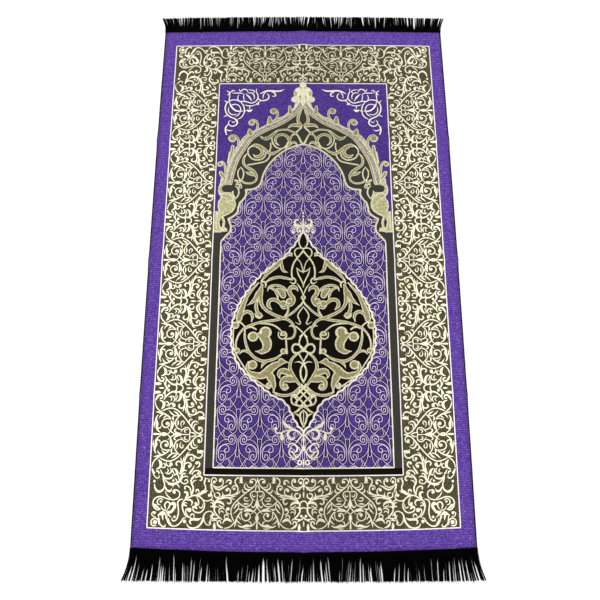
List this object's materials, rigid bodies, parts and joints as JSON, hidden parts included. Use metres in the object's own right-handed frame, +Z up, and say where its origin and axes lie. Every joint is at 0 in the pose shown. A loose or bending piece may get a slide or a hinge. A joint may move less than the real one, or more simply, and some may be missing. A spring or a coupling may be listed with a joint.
{
  "type": "prayer rug",
  "caption": "Flat rectangular prayer rug of thin woven cloth with an arched niche pattern, overcast long sides, packing creases and a yarn fringe along each short end.",
  "frame": {"origin": "on the floor plane, midway between the rug's two long sides and between its two rows of fringe tips", "axes": "+Y along the rug towards the top of its niche, +Z up out of the patterned face, +X to the right seen from above with the niche pointing away"},
  "size_m": [0.7263, 1.3137, 0.0065],
  "materials": {
    "woven_cloth": "jacquard weave with a soft glitter",
    "pattern_yarn": "satin",
    "black_yarn": "soft sheen"
  },
  "bodies": {
    "root": {"rug_cloth": "woven_cloth", "overcast_left": "black_yarn", "overcast_right": "black_yarn", "fringe_far": "black_yarn", "fringe_near": "black_yarn"}
  },
  "joints": []
}
